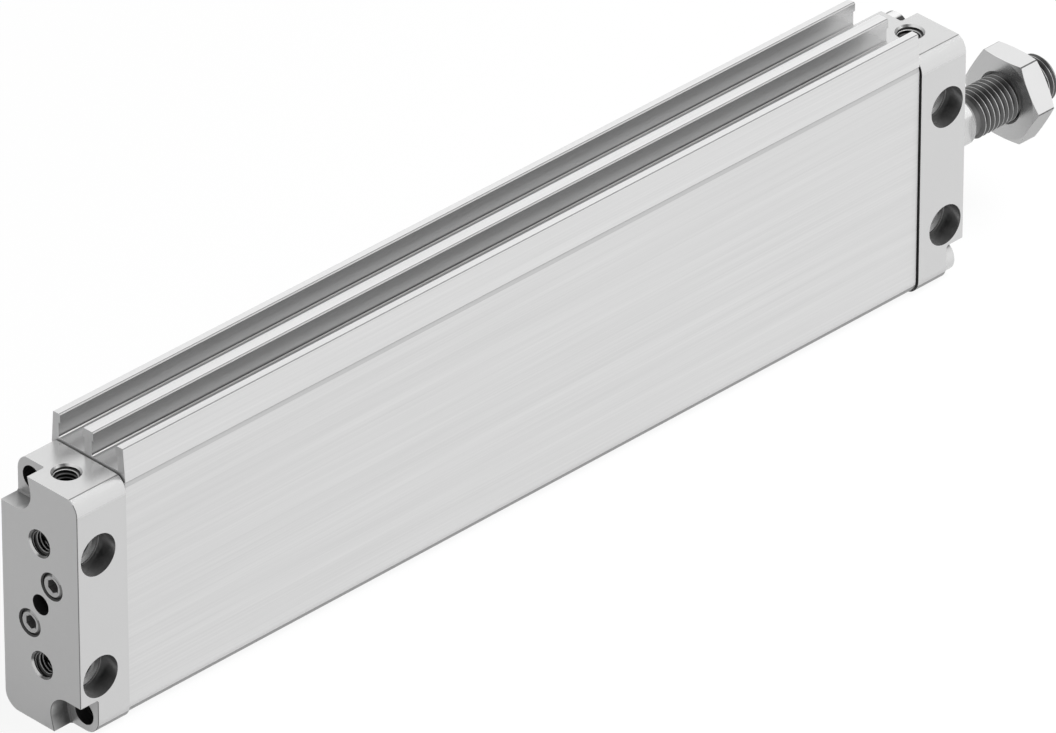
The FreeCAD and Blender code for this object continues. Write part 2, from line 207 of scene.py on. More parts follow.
# Limits for the way a face looks: the part of its normal that lies along an axis
square_limit = 0.9
top_limit = 0.95
flat_limit = 0.99
wall_limit = 0.7
down_limit = -0.3
up_limit = 0.05
edge_up_limit = 0.5
edge_end_limit = 0.35
screw_face_limit = -0.5

# Numbers of a worked copy's finishes: plain, broken edges painted dark as a shade line, then its zones
plain_number = 0
dark_edge_number = 1
first_zone_number = 2

# Grains: noise scales per metre along each axis, fine and broad, and how patterns are made of them
even_grain = ((420, 420, 420), (90, 90, 90))
blasted_grain = ((2600, 2600, 2600), (90, 90, 90))
drawn_grain = ((20, 2400, 2400), (6, 500, 500))
coarse_drawn_grain = ((20, 900, 900), (6, 300, 300))
cut_grain = (600, 600, 600)
fine_detail = 4.0
cut_detail = 3.0
broad_detail = 2.0
broad_share = 0.4
crest_grain_share = 0.1
rim_grain_share = 0.02
slot_grain_share = 0.1
grain_range = (0.3, 0.7)
depth_range = (0.1, 0.9)
# Black, for the painted shade deep in holes
black = (0.03, 0.03, 0.03, 1)


def feed(tree, socket, value):
    """Sets a node's input, or links another node's result to it."""
    if isinstance(value, bpy.types.NodeSocket):
        tree.links.new(value, socket)
    else:
        socket.default_value = value


def add_node(tree, kind, **values):
    """New node in a tree, with the named inputs set or linked."""
    node = tree.nodes.new(kind)
    for name, value in values.items():
        feed(tree, node.inputs[name.replace("_", " ")], value)
    return node


def reckon(tree, operation, *values):
    """Result of a sum on numbers and other nodes' results."""
    node = tree.nodes.new("ShaderNodeMath")
    node.operation = operation
    for socket, value in zip(node.inputs, values):
        feed(tree, socket, value)
    return node.outputs["Value"]


def mapped(tree, value, **limits):
    """A value taken from one range to another; a range without limits is 0 to 1."""
    return add_node(tree, "ShaderNodeMapRange", Value=value, **limits).outputs["Result"]


def own_place(tree):
    """The piece's own coordinates."""
    return tree.nodes.new("ShaderNodeTexCoord").outputs["Object"]


def along_axis(tree, axis):
    """The piece's own coordinate along one axis."""
    return add_node(tree, "ShaderNodeSeparateXYZ", Vector=own_place(tree)).outputs[axis]


def new_finish(name, metallic, roughness):
    """Empty finish: a principled shader with its plain values set."""
    material = bpy.data.materials.new(name)
    material.use_nodes = True
    shader = material.node_tree.nodes["Principled BSDF"]
    shader.inputs["Metallic"].default_value = metallic
    shader.inputs["Roughness"].default_value = roughness
    return material, material.node_tree, shader


def grain(tree, scale, detail, roughness=0.55):
    """Noise on the piece's own coordinates, with its own scale along each axis, per metre."""
    mapping = add_node(tree, "ShaderNodeMapping", Vector=own_place(tree), Scale=scale)
    noise = add_node(tree, "ShaderNodeTexNoise", Vector=mapping.outputs["Vector"], Scale=1.0, Detail=detail,
                     Roughness=roughness)
    return noise.outputs["Fac"]


def blend(tree, first, second, share):
    """Weighted sum of two patterns."""
    return add_node(tree, "ShaderNodeMix", Factor=share, A=first, B=second).outputs["Result"]


def mixed(tree, share, first, second, way="MIX"):
    """Two colours put together, the second with a share."""
    node = add_node(tree, "ShaderNodeMixRGB", Fac=share, Color1=first, Color2=second)
    node.blend_type = way
    return node.outputs["Color"]


def grey(value):
    return (value, value, value)


def colours_along(tree, pattern, steps):
    """Colours that follow one another, each at its own place along a pattern."""
    ramp = add_node(tree, "ShaderNodeValToRGB", Fac=pattern)
    marks = ramp.color_ramp.elements
    for place, _ in steps[1:-1]:
        marks.new(place)
    for mark, (place, colour) in zip(marks, steps):
        mark.position = place
        mark.color = (*colour, 1)
    return ramp.outputs["Color"]


def greys_along(tree, pattern, tones):
    """Greys that follow one another, each at its own place along a pattern."""
    return colours_along(tree, pattern, [(place, grey(level)) for place, level in tones])


def grained(tree, pattern, colour, contrast):
    """A colour made darker and lighter by a grain."""
    tones = [tuple(part * (1 + change) for part in colour) for change in (-contrast, contrast)]
    return colours_along(tree, pattern, list(zip(grain_range, tones)))


def colour_with(tree, shader, colour):
    tree.links.new(colour, shader.inputs["Base Color"])


def relief(tree, shader, pattern, strength=0.3, depth=0.003 * MM):
    """Fine surface relief from a pattern."""
    bump = add_node(tree, "ShaderNodeBump", Strength=strength, Distance=depth, Height=pattern)
    tree.links.new(bump.outputs["Normal"], shader.inputs["Normal"])


def metal_finish(name, colour, contrast, scales, roughness, depth=0.004 * MM, metallic=0.38):
    """Metal whose colour, gloss and relief follow a fine and a broad grain."""
    material, tree, shader = new_finish(name, metallic, roughness[0])
    fine = grain(tree, scales[0], fine_detail)
    broad = grain(tree, scales[1], broad_detail)
    pattern = blend(tree, fine, broad, broad_share)
    colour_with(tree, shader, grained(tree, pattern, colour, contrast))
    gloss = mapped(tree, pattern, To_Min=roughness[0], To_Max=roughness[1])
    tree.links.new(gloss, shader.inputs["Roughness"])
    relief(tree, shader, fine, strength=0.35, depth=depth)
    return material


def depth_finish(name, axis, limits, greys, scale, metallic, share=0.2, spacing=None):
    """Metal with painted shade that runs from one grey to another along an axis, again at each spacing, under
    a fine grain.
    """
    material, tree, shader = new_finish(name, metallic, roughness=0.3)
    place = along_axis(tree, axis)
    if spacing:
        place = reckon(tree, "WRAP", place, spacing, 0.0)
    run = mapped(tree, place, From_Min=limits[0], From_Max=limits[1])
    fine = grain(tree, scale, fine_detail)
    pattern = blend(tree, run, fine, share)
    colour_with(tree, shader, greys_along(tree, pattern, zip(depth_range, greys)))
    relief(tree, shader, fine)
    return material


def painted_crest_light_finish(name, limits, greys, scale, roughness=0.3, metallic=0.5, shades=None):
    """Cut metal with painted shade in its grooves and a painted highlight on its crests, by the piece's own
    crest attribute.

    Shades are an axis, the two places on it between which the tones run, and the tones of painted shade that
    darken the metal.
    """
    material, tree, shader = new_finish(name, metallic, roughness)
    height = tree.nodes.new("ShaderNodeAttribute")
    height.attribute_name = "crest"
    fine = grain(tree, scale, cut_detail)
    pattern = blend(tree, height.outputs["Fac"], fine, crest_grain_share)
    colour = greys_along(tree, pattern, zip(limits, greys))
    if shades:
        axis, first, last, tones = shades
        across = mapped(tree, along_axis(tree, axis), From_Min=first, From_Max=last)
        colour = mixed(tree, 1.0, colour, greys_along(tree, across, tones), way="MULTIPLY")
    colour_with(tree, shader, colour)
    relief(tree, shader, fine)
    return material


def painted_reflection_finish(name, direction, tones, reach=None, dark_end=None):
    """Turned metal with painted bright and dark bands round its axis: a painted reflection, by the way its
    wall faces.

    With a reach, the way up or down from the rod's axis counts, up to that height. The dark end is an axis
    and the distances along it, on either side of the middle, between which painted black shade runs out.
    """
    material, tree, shader = new_finish(name, metallic=0.6, roughness=0.2)
    lowest, highest = -1.0, 1.0
    if reach:
        height = add_node(tree, "ShaderNodeMapping", Vector=own_place(tree), Scale=(0, 0, 1))
        direction = height.outputs["Vector"]
        lowest, highest = 0.0, reach
    facing = tree.nodes.new("ShaderNodeVectorMath")
    facing.operation = "DOT_PRODUCT"
    feed(tree, facing.inputs[0], tree.nodes.new("ShaderNodeNewGeometry").outputs["Normal"])
    feed(tree, facing.inputs[1], direction)
    run = mapped(tree, facing.outputs["Value"], From_Min=lowest, From_Max=highest)
    fine = grain(tree, blasted_grain[0], cut_detail)
    colour = greys_along(tree, blend(tree, run, fine, rim_grain_share), tones)
    if dark_end:
        axis, dark, clear = dark_end
        distance = reckon(tree, "ABSOLUTE", along_axis(tree, axis))
        colour = mixed(tree, mapped(tree, distance, From_Min=dark, From_Max=clear), black, colour)
    colour_with(tree, shader, colour)
    return material


def painted_slot_shade_finish():
    """Slot walls: painted shade along their foot, and painted light towards the front end, under fine drawn
    lines.
    """
    material, tree, shader = new_finish("slot_wall", metallic=0.85, roughness=0.27)
    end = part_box("barrel")[1].x
    rise = mapped(tree, along_axis(tree, "Z"), From_Min=slot_floor, From_Max=slot_floor + slot_wall_height)
    run = mapped(tree, along_axis(tree, "X"), From_Min=end - slot_bright_end, From_Max=end,
                 To_Max=slot_bright_share)
    fine = grain(tree, (12, 1500, 1500), fine_detail)
    colour = greys_along(tree, blend(tree, rise, fine, slot_grain_share), slot_wall_shade_tones)
    colour_with(tree, shader, mixed(tree, run, colour, (*grey(slot_bright_tone), 1)))
    relief(tree, shader, fine, depth=0.002 * MM)
    return material


def soft_finish(name, colour, contrast, scale, roughness):
    """Rubber or plastic with a fine moulded grain."""
    material, tree, shader = new_finish(name, 0.0, roughness)
    pattern = grain(tree, (scale, scale, scale), cut_detail)
    colour_with(tree, shader, grained(tree, pattern, colour, contrast))
    relief(tree, shader, pattern, strength=0.25, depth=0.01 * MM)
    return material


# Finishes of the record's materials
finishes = {
    "barrel_aluminium": metal_finish("brushed_barrel", grey(0.76), 0.06, drawn_grain, (0.34, 0.44)),
    "cap_aluminium": metal_finish(
        "satin_cap", grey(0.69), 0.015, blasted_grain, (0.3, 0.36), depth=0.002 * MM),
    "piston_aluminium": metal_finish(
        "turned_piston", grey(0.62), 0.05, ((5200, 260, 260), (200, 200, 200)), (0.32, 0.44)),
    "rod_steel": metal_finish(
        "ground_rod", grey(0.74), 0.03, ((6500, 190, 190), (120, 120, 120)), (0.17, 0.25), metallic=0.6),
    "nut_steel": metal_finish(
        "bright_nut", grey(0.67), 0.012, even_grain, (0.3, 0.34), depth=0.0002 * MM, metallic=0.0),
    "screw_steel": metal_finish(
        "bright_screw", grey(0.66), 0.04, ((2500, 2500, 2500), (220, 220, 220)), (0.24, 0.34), metallic=0.6),
    "bush_bronze": metal_finish(
        "sintered_bush", (0.6, 0.43, 0.22), 0.09, ((3200, 3200, 3200), (500, 500, 500)), (0.4, 0.55)),
    "seal_rubber": soft_finish("seal_rubber_matte", grey(0.03), 0.25, 2600, 0.6),
    "buffer_rubber": soft_finish("buffer_rubber_matte", grey(0.05), 0.25, 1900, 0.65),
    "guide_plastic": soft_finish("guide_plastic_matte", (0.2, 0.2, 0.21), 0.12, 2200, 0.5),
    "magnet": soft_finish("magnet_sintered", grey(0.12), 0.2, 3000, 0.55),
}
# Broken edges painted dark, as a shade line along each edge
dark_edge_finishes = {
    "barrel_aluminium": metal_finish("barrel_edge", grey(0.25), 0.08, drawn_grain, (0.4, 0.5)),
    "cap_aluminium": metal_finish("cap_edge", grey(0.24), 0.05, blasted_grain, (0.4, 0.5)),
}

# Finishes of single faces on the barrel
sawn_end = metal_finish("sawn_end", grey(0.72), 0.04, ((900, 3600, 300), (300, 300, 300)), (0.4, 0.5))
# Side grooves: the down-facing step painted near black and the slope painted darker, as the shade under the
# rib's overhang
groove_step = metal_finish("groove_step", grey(0.12), 0.05, coarse_drawn_grain, (0.4, 0.5))
groove_slope = metal_finish("groove_slope", grey(0.6), 0.03, ((20, 1500, 1500), (6, 300, 300)), (0.34, 0.42))
slot_wall = painted_slot_shade_finish()
# Slot corners: a strip painted light near the rear end, running to shade further along
slot_foot = depth_finish("slot_foot", "X", slot_foot_shade, (0.7, 0.34), (12, 420, 420), 0.4, share=0.05)
slot_base = metal_finish("slot_base", grey(0.6), 0.03, ((12, 420, 420), (6, 200, 200)), (0.26, 0.3),
                         depth=0.0004 * MM, metallic=0.8)
lip_band = metal_finish("lip_band", grey(0.56), 0.03, coarse_drawn_grain, (0.28, 0.34), metallic=0.8)
# Faces that look down are painted darker, as the shade beneath them
underside = metal_finish("underside", grey(0.36), 0.05, ((20, 2400, 2400), (90, 90, 90)), (0.4, 0.5))

# Finishes of single faces on the caps
# Counterbore walls: painted bands of glint and shade by the way the wall faces, and painted black shade near
# the floor
bored_wall = painted_reflection_finish("bored_wall", (-0.87, 0.0, -0.5), (
    (0.0, 0.3), (0.065, 0.3), (0.25, 0.16), (0.5, 0.14), (0.75, 0.25), (0.93, 0.5), (1.0, 0.45)),
    dark_end=("Y", counterbore_floor, counterbore_floor + counterbore_shadow))
# Counterbore floors: painted light at their lower side, running to shade above
bored_floor = depth_finish("bored_floor", "Z", counterbore_shade, (0.98, 0.3), (900, 900, 900), 0.0,
                           share=0.1, spacing=side_hole_spacing)
# Deep hole walls and the caps' inner faces painted near black, as the shade inside
deep_wall = metal_finish("deep_wall", grey(0.05), 0.3, ((4200, 300, 300), (300, 300, 300)), (0.4, 0.5))
# The caps' end faces: their own grain, and painted a little lighter than the cap, as more light
satin_end = metal_finish("satin_end", grey(0.72), 0.012, ((600, 600, 600), (90, 90, 90)), (0.3, 0.34),
                         depth=0.0004 * MM)
ground_top = metal_finish("ground_top", grey(0.69), 0.015, even_grain, (0.24, 0.28), depth=0.0002 * MM,
                          metallic=0.8)
# Side hole mouths at the counterbore floor, painted dark as shade
side_rim = metal_finish("side_rim", grey(0.3), 0.04, ((2600, 2600, 2600), (300, 300, 300)), (0.2, 0.28))
# Hole mouth chamfers: painted glints and shade, by the way each part of the chamfer faces
end_rim = painted_reflection_finish("end_rim", (0.0, -0.77, 0.64), (
    (0.15, 0.25), (0.6, 0.14), (0.75, 0.12), (0.81, 0.72), (1, 0.8)))
port_rim = painted_reflection_finish("port_rim", (0.71, -0.7, 0.0), (
    (0.16, 0.4), (0.25, 0.72), (0.41, 0.75), (0.56, 0.1), (0.64, 0.2), (0.72, 0.64), (0.8, 0.28),
    (0.84, 0.25)))
# Corner notches: painted shade that deepens from the end face inwards
notch_upper = depth_finish("notch_upper", "X", notch_upper_shade, (0.68, 0.3), blasted_grain[0], 0.38)
notch_lower = depth_finish("notch_lower", "X", notch_lower_shade, (0.6, 0.12), blasted_grain[0], 0.38)

# Finishes of the screws, the nut's faces, the rod's end and the threads
# Tie screws: painted bands of reflection on the heads, by the way they face, and painted black shade at their
# rear ends in the holes
tie_screw_painted_reflection = painted_reflection_finish("tie_screw", None, (
    (0.0, 0.68), (0.65, 0.72), (0.755, 0.05), (0.89, 0.05), (0.945, 0.85), (1.0, 0.9)),
    reach=tie_screw_reach, dark_end=("X", tie_screw_dark_end, 2 * tie_screw_dark_end))
# The nut's narrow corner strips, painted dark as a shade line
nut_edge = metal_finish("nut_edge", grey(0.12), 0.05, even_grain, (0.3, 0.4))
turned_face = metal_finish("turned_face", grey(0.51), 0.012, ((300, 420, 420), (200, 200, 200)), (0.26, 0.28),
                           depth=0.0001 * MM, metallic=0.9)
# Rod flats painted darker and the collar painted lighter, as shade and highlight
wrench_flat = metal_finish("wrench_flat", grey(0.62), 0.02, even_grain, (0.24, 0.28), depth=0.0002 * MM,
                           metallic=0.9)
rod_collar = metal_finish("rod_collar", grey(0.92), 0.02, even_grain, (0.24, 0.28), depth=0.0002 * MM,
                          metallic=0.9)
# Rod thread: painted shade in the grooves, a painted highlight on the crests, and a painted band of dark
# reflection along one side
rod_thread = painted_crest_light_finish("rod_thread", (0.87, 0.96), (0.14, 0.8), (400, 600, 600), shades=(
    "Y", -rod_crest_radius, rod_crest_radius,
    ((0.0, 1.0), (0.13, 1.0), (0.24, 0.42), (0.36, 0.42), (0.52, 0.85), (1.0, 0.9))))
# Hole threads: painted shade in the grooves and a painted highlight on the crests; in the ports the crests
# are painted dark below the first ridge, as shade
port_thread = painted_crest_light_finish("port_thread", (0.5, 0.88), (0.015, 0.95), cut_grain, shades=(
    "Z", cap_top - port_dark_below, cap_top - port_bright_above, ((0.0, 0.13), (1.0, 1.0))))
hole_thread = painted_crest_light_finish("hole_thread", (0.66, 0.95), (0.02, 0.52), cut_grain)
# Set screws: painted light and shade on each face, from the crest attribute
screw_face = painted_crest_light_finish("screw_face", (0.0, 0.95), (0.04, 0.7), (2400, 2400, 2400), 0.28, 0.4)

slot_names = {name: nodes[name].data.materials[0].name for name in nodes}


def placed(name, data):
    """Puts a mesh, a lamp or a camera into the scene."""
    thing = bpy.data.objects.new(name, data)
    bpy.context.scene.collection.objects.link(thing)
    return thing


def hand_over(mesh, body, slot, *replaced):
    """Makes a piece of a mesh, hangs it on its body and hides the parts that it stands in for; the slot is
    not used.
    """
    piece = placed(mesh.name, mesh)
    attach(piece, body)
    if replaced:
        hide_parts(*replaced)


def smooth(mesh, angle=smooth_angle):
    mesh.shade_smooth()
    mesh.set_sharp_from_angle(angle=angle)
    return mesh


def baked(piece):
    """Plain mesh of a piece with its modifiers worked out; the piece is taken away."""
    graph = bpy.context.evaluated_depsgraph_get()
    mesh = bpy.data.meshes.new_from_object(piece.evaluated_get(graph))
    mesh.name = piece.name
    bpy.data.objects.remove(piece)
    return mesh


def close_up(shape):
    """Merges doubled points and turns all faces outwards."""
    bmesh.ops.remove_doubles(shape, verts=shape.verts, dist=merge_distance)
    bmesh.ops.recalc_face_normals(shape, faces=shape.faces)


def write_to(mesh, shape, *mesh_finishes):
    """Puts a worked shape and its finishes into a mesh, and lets go of the shape."""
    shape.to_mesh(mesh)
    shape.free()
    for finish in mesh_finishes:
        mesh.materials.append(finish)
    return mesh


def skin(shape, rings):
    """Faces from each ring of points to the next, and over both ends."""
    for ring, after in zip(rings, rings[1:]):
        for step in range(len(ring)):
            beside = (step + 1) % len(ring)
            shape.faces.new((ring[step], ring[beside], after[beside], after[step]))
    shape.faces.new(rings[0])
    shape.faces.new(rings[-1])


def bore(mouth, inward, radius, depth):
    """Test for a face that lies on the wall or the floor of a hole."""
    def on_wall(centre, normal):
        offset = centre - mouth
        along = offset.dot(inward)
        across = (offset - inward * along).length
        return wall_margin < along < depth + wall_margin and across < radius + wall_margin
    return on_wall


def facing_along(low, high):
    """Test for a face across the rod's axis, between two places along it."""
    def across(centre, normal):
        return abs(normal.x) > square_limit and low < centre.x < high
    return across


def in_slot(centre, normal):
    """Test for the side walls of a sensor slot."""
    below_lips = centre.z < rib_top - wall_margin
    inside = abs(centre.y) < slot_half_width + wall_margin
    return below_lips and inside and centre.z > slot_floor - wall_margin and abs(normal.y) > wall_limit


def on_slot_base(centre, normal):
    """Test for the floor of a sensor slot."""
    inside = abs(centre.y) < slot_half_width
    return inside and abs(centre.z - slot_floor) < wall_margin and normal.z > wall_limit


def in_side_groove(low, high):
    """Test for the faces of the barrel's side grooves that look down or up within limits."""
    def on_face(centre, normal):
        inside = side_groove_low < centre.z < side_groove_high + wall_margin
        return inside and abs(centre.y) > side_groove_wall and low < normal.z < high
    return on_face


def above(centre, normal):
    """Test for a face that looks up, if only a little."""
    return normal.z > up_limit


def below(centre, normal):
    """Test for a face that looks down."""
    return normal.z < down_limit


def in_notch(flange, side):
    """Test for the walls of a tie screw's corner notch at the rear."""
    axis = Vector((0, side * tie_y, side * tie_z))

    def on_wall(centre, normal):
        beyond = min(side * (centre.y - axis.y), side * (centre.z - axis.z)) > -notch_radius - wall_margin
        inside = abs(centre.z) < cap_top - wall_margin
        before = wall_margin < centre.x < flange + wall_margin
        return beyond and inside and before and abs(normal.x) < square_limit
    return on_wall


def sharp_edges(shape):
    """Outer edges of a merged copy where two of its own faces meet at an angle, marked before the merge."""
    mark = shape.edges.layers.float["rim"]
    return [edge for edge in shape.edges
            if edge[mark] and len(edge.link_faces) == 2 and edge.calc_face_angle_signed(0) > edge_angle]


def merged_copy(node, zones):
    """Merged copy of a node's mesh whose faces are told apart by zone; rims of its faces are marked."""
    shape = bmesh.new()
    shape.from_mesh(nodes[node].data)
    mark = shape.edges.layers.float.new("rim")
    for edge in shape.edges:
        edge[mark] = float(edge.is_boundary)
    bmesh.ops.remove_doubles(shape, verts=shape.verts, dist=merge_distance)
    shape.normal_update()
    for face in shape.faces:
        centre = face.calc_center_median()
        for number, (belongs, _) in enumerate(zones, first_zone_number):
            if belongs(centre, face.normal):
                face.material_index = number
                break
    bmesh.ops.dissolve_limit(shape, angle_limit=flat_angle, verts=shape.verts, edges=shape.edges,
                             delimit={"MATERIAL"})
    return shape


def break_edges(shape, edges, width, finish_number):
    """Bevels edges by one narrow flat and returns the new edges."""
    made = bmesh.ops.bevel(shape, geom=edges, offset=width, segments=1, profile=0.5, affect="EDGES",
                           material=finish_number)
    shape.normal_update()
    return made["edges"]


def finished_copy(node, shape, zones, *more):
    """Plain mesh of a worked copy of a node, shaded evenly."""
    slot = slot_names[node]
    shape.edges.layers.float.remove(shape.edges.layers.float["rim"])
    mesh = write_to(bpy.data.meshes.new(node + "_shape"), shape, finishes[slot], dark_edge_finishes[slot],
                    *(finish for _, finish in zones), *more)
    mesh.attributes.remove(mesh.attributes["custom_normal"])
    smooth(mesh)
    piece = placed(node + "_broken", mesh)
    piece.modifiers.new("shading", "WEIGHTED_NORMAL").keep_sharp = True
    return baked(piece)


def cap_ends(node, outward):
    """Places along the rod's axis of a cap's end face and of its block's inner face."""
    low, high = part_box(node)
    face = low.x if outward < 0 else high.x
    return face, face - outward * bored_depth


def broken_cap(node, outward):
    """Cap with a finish for each zone and broken edges painted dark as a shade line, apart from hole rims,
    the notch and the inner end; bevels that look up and along the rod stay plain.
    """
    zones, rims = cap_zones(node, outward)
    _, inner = cap_ends(node, outward)
    shape = merged_copy(node, zones)

    def kept(edge):
        normals = [face.normal for face in edge.link_faces]
        at_top = (max(normal.z for normal in normals) > top_limit
                  and max(abs(normal.x) for normal in normals) > top_limit)
        at_rim = any(all(rim(vert.co, None) for vert in edge.verts) for rim in rims)
        at_notch = all(min(vert.co.y - tie_y, vert.co.z - tie_z) > -notch_radius - wall_margin
                       for vert in edge.verts)
        past_inner = all((vert.co.x - inner) * outward < wall_margin for vert in edge.verts)
        return at_top or at_rim or at_notch or past_inner

    break_edges(shape, [edge for edge in sharp_edges(shape) if not kept(edge)], cap_edge_width, dark_edge_number)
    for face in shape.faces:
        looks_up = face.normal.z > edge_up_limit and abs(face.normal.x) > edge_end_limit
        if face.material_index == dark_edge_number and looks_up:
            face.material_index = plain_number
    return finished_copy(node, shape, zones)


def broken_barrel():
    """Barrel with its slot corners filled by a strip of painted light and shade, its lips broken wide with a
    thin painted dark line on the near ones, and its outer ribs broken narrow and painted dark.
    """
    whole = (corner.x for corner in cad_box)
    zones = [(facing_along(*whole), sawn_end), (in_slot, slot_wall), (on_slot_base, slot_base),
             (in_side_groove(-1.0, down_limit), groove_step), (in_side_groove(down_limit, 1.0), groove_slope),
             (below, underside)]
    lip_number = first_zone_number + len(zones)
    foot_number = lip_number + 1
    shape = merged_copy("barrel", zones)

    def runs(edge, level):
        start, end = (vert.co for vert in edge.verts)
        along = abs(start.x - end.x) > square_limit * (start - end).length
        return along and abs(start.z - level) < wall_margin and abs(end.z - level) < wall_margin

    rims = [edge for edge in shape.edges if edge[shape.edges.layers.float["rim"]]]
    corners = [edge for edge in rims if runs(edge, slot_floor)]
    break_edges(shape, corners, slot_corner_width, foot_number)
    crests = [edge for edge in sharp_edges(shape) if runs(edge, rib_top)]
    outer = [edge for edge in crests if abs(edge.verts[0].co.y) > slot_half_width]
    lips = [edge for edge in crests if edge not in outer]
    near = [edge for edge in lips if min(face.normal.y for face in edge.link_faces) < -wall_limit]
    far = [edge for edge in lips if edge not in near]
    break_edges(shape, outer, rib_edge_width, dark_edge_number)
    break_edges(shape, far, lip_edge_width, plain_number)
    made = break_edges(shape, near, lip_edge_width, lip_number)
    # A thin painted dark line, as shade, runs along each near lip's band
    lines = [edge for edge in made if edge.is_valid and runs(edge, rib_top)]
    break_edges(shape, lines, lip_line_width, dark_edge_number)
    return finished_copy("barrel", shape, zones, lip_band, slot_foot)


def copies_group(name, *inputs):
    """New node tree that takes places, other inputs and a finish, and the sockets that bring them in."""
    tree = bpy.data.node_groups.new(name, "GeometryNodeTree")
    for label, kind in (("Places", "Geometry"), *inputs, ("Finish", "Material")):
        tree.interface.new_socket(label, in_out="INPUT", socket_type="NodeSocket" + kind)
    tree.interface.new_socket("Geometry", in_out="OUTPUT", socket_type="NodeSocketGeometry")
    return tree, tree.nodes.new("NodeGroupInput").outputs


def put_copies(tree, given, pattern, **turned):
    """Puts a copy of a pattern at each place, makes the copies real and gives them their finish."""
    place = add_node(tree, "GeometryNodeInstanceOnPoints", Points=given["Places"], Instance=pattern, **turned)
    real = add_node(tree, "GeometryNodeRealizeInstances", Geometry=place.outputs["Instances"])
    painted = add_node(tree, "GeometryNodeSetMaterial", Geometry=real.outputs["Geometry"],
                       Material=given["Finish"])
    add_node(tree, "NodeGroupOutput", Geometry=painted.outputs["Geometry"])
    return tree


def thread_tree():
    """Ridge along a right-hand helix at each place, with its axis along the place's direction."""
    measures = ("Radius", "Pitch", "Turns", "Ridge Height", "Ridge Crest", "Sink", "Run Out")
    tree, given = copies_group("thread_ridges", *((name, "Float") for name in measures),
                               ("Points Per Turn", "Int"))
    spiral = add_node(tree, "GeometryNodeCurveSpiral", Reverse=True, Resolution=given["Points Per Turn"],
                      Rotations=given["Turns"], Start_Radius=given["Radius"], End_Radius=given["Radius"],
                      Height=reckon(tree, "MULTIPLY", given["Pitch"], given["Turns"]))
    upright = add_node(tree, "GeometryNodeSetCurveNormal", Curve=spiral.outputs["Curve"])
    upright.mode = "Z_UP"

    # The ridge's section has its four points in a row: foot, crest, crest, foot
    half_base = reckon(tree, "MULTIPLY", given["Pitch"], ridge_half_base)
    half_crest = reckon(tree, "MULTIPLY", given["Ridge Crest"], 0.5)
    foot = reckon(tree, "MULTIPLY", given["Sink"], -1.0)
    section = (
        (foot, reckon(tree, "MULTIPLY", half_base, -1.0)),
        (given["Ridge Height"], reckon(tree, "MULTIPLY", half_crest, -1.0)),
        (given["Ridge Height"], half_crest),
        (foot, half_base),
    )
    profile = tree.nodes.new("GeometryNodeCurvePrimitiveQuadrilateral")
    profile.mode = "POINTS"
    for number, (radial, axial) in enumerate(section, 1):
        corner = add_node(tree, "ShaderNodeCombineXYZ", X=radial, Y=axial)
        tree.links.new(corner.outputs["Vector"], profile.inputs[f"Point {number}"])
    # The crest attribute, 1 on the crest and 0 at the feet, carries the painted highlight and groove shade
    middle = (len(section) - 1) / 2
    number = tree.nodes.new("GeometryNodeInputIndex").outputs["Index"]
    from_middle = reckon(tree, "ABSOLUTE", reckon(tree, "SUBTRACT", number, middle))
    crest = add_node(tree, "GeometryNodeStoreNamedAttribute", Name="crest", Geometry=profile.outputs["Curve"],
                     Value=reckon(tree, "SUBTRACT", middle, from_middle))

    along = tree.nodes.new("GeometryNodeSplineParameter").outputs["Factor"]
    nearest_end = reckon(tree, "MINIMUM", along, reckon(tree, "SUBTRACT", 1.0, along))
    turns_in = reckon(tree, "MULTIPLY", nearest_end, given["Turns"])
    growth = reckon(tree, "MINIMUM", reckon(tree, "DIVIDE", turns_in, given["Run Out"]), 1.0)
    sweep = add_node(tree, "GeometryNodeCurveToMesh", Curve=upright.outputs["Curve"],
                     Profile_Curve=crest.outputs["Geometry"], Fill_Caps=True,
                     Scale=reckon(tree, "MAXIMUM", growth, ridge_least_growth))

    direction = add_node(tree, "GeometryNodeInputNamedAttribute", Name="direction")
    direction.data_type = "FLOAT_VECTOR"
    turn = add_node(tree, "FunctionNodeAlignRotationToVector", Vector=direction.outputs["Attribute"])
    turn.axis = "Z"
    return put_copies(tree, given, sweep.outputs["Mesh"], Rotation=turn.outputs["Rotation"])


def copies_tree():
    """Copies of one piece, each at a place."""
    tree, given = copies_group("piece_copies", ("Piece", "Object"))
    pattern = add_node(tree, "GeometryNodeObjectInfo", Object=given["Piece"])
    return put_copies(tree, given, pattern.outputs["Geometry"])


ridges = thread_tree()
copies = copies_tree()


def run_tree(name, tree, base, values):
    """Works a node tree out on a base mesh and returns the plain mesh that comes of it."""
    carrier = placed(name, base)
    modifier = carrier.modifiers.new(name, "NODES")
    modifier.node_group = tree
    for item in tree.interface.items_tree:
        if item.in_out == "INPUT" and item.name in values:
            modifier[item.identifier] = values[item.name]
    mesh = baked(carrier)
    shape = bmesh.new()
    shape.from_mesh(mesh)
    close_up(shape)
    return write_to(mesh, shape)


def places_mesh(places):
    """Loose points, each with the direction that its thread runs in."""
    mesh = bpy.data.meshes.new("places")
    mesh.from_pydata([place for place, _ in places], [], [])
    attribute = mesh.attributes.new("direction", "FLOAT_VECTOR", "POINT")
    for item, (_, direction) in zip(attribute.data, places):
        item.vector = direction
    return mesh


def thread_mesh(name, places, radius, pitch, turns, height, crest, finish):
    """Thread ridges at places: outwards on a rod, or inwards in holes where the height is below zero."""
    values = {"Radius": radius, "Pitch": pitch, "Turns": turns, "Ridge Height": height, "Ridge Crest": crest,
              "Sink": math.copysign(ridge_sink, height), "Run Out": ridge_run_out,
              "Points Per Turn": ridge_points_per_turn, "Finish": finish}
    return smooth(run_tree(name, ridges, places_mesh(places), values))


def circle(radius):
    return lambda angle: (radius * math.cos(angle), radius * math.sin(angle))


